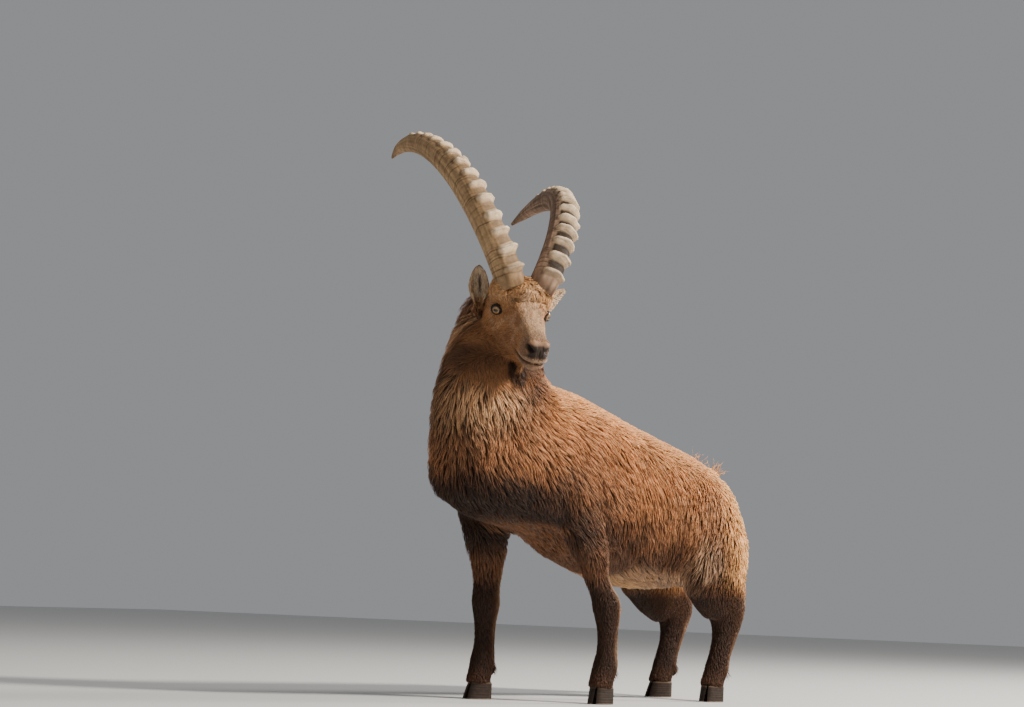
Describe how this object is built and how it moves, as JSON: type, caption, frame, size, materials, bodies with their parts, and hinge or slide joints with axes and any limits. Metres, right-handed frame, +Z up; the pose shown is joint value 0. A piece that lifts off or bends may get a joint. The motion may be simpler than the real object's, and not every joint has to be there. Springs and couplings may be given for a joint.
{
  "type": "life-size alpine ibex model",
  "caption": "Life-size still model of an adult male alpine ibex standing on all four hooves, head raised and turned to its left, with long ridged horns curving back.",
  "frame": {"origin": "on the floor, under the centre of the model's bounding box", "axes": "+Z up; the body faces -Y, tail towards +Y; the animal's left side is +X and its head is turned to its left"},
  "size_m": [0.7281, 1.356, 1.5262],
  "materials": {
    "coat": "matte fur, rusty orange brown",
    "pale_coat": "matte short fur, pale tan",
    "dark_coat": "matte short fur, dark chocolate brown",
    "horn": "keratin, satin, ridged and worn",
    "hoof": "keratin, satin, near black",
    "eye": "wet gloss, amber with a level slit pupil"
  },
  "bodies": {
    "root": {"head": "coat", "neck": "coat", "trunk": "coat", "tail": "coat", "forearm_left": "dark_coat", "forefoot_left": "dark_coat", "shank_left": "dark_coat", "hindfoot_left": "dark_coat", "horn_left": "horn", "ear_left": "pale_coat", "eye_left": "eye", "forearm_right": "dark_coat", "forefoot_right": "dark_coat", "shank_right": "dark_coat", "hindfoot_right": "dark_coat", "horn_right": "horn", "ear_right": "pale_coat", "eye_right": "eye", "claw_front_left_outer": "hoof", "dewclaw_front_left_outer": "hoof", "claw_front_left_inner": "hoof", "dewclaw_front_left_inner": "hoof", "claw_front_right_outer": "hoof", "dewclaw_front_right_outer": "hoof", "claw_front_right_inner": "hoof", "dewclaw_front_right_inner": "hoof", "claw_hind_left_outer": "hoof", "dewclaw_hind_left_outer": "hoof", "claw_hind_left_inner": "hoof", "dewclaw_hind_left_inner": "hoof", "claw_hind_right_outer": "hoof", "dewclaw_hind_right_outer": "hoof", "claw_hind_right_inner": "hoof", "dewclaw_hind_right_inner": "hoof"}
  },
  "joints": []
}
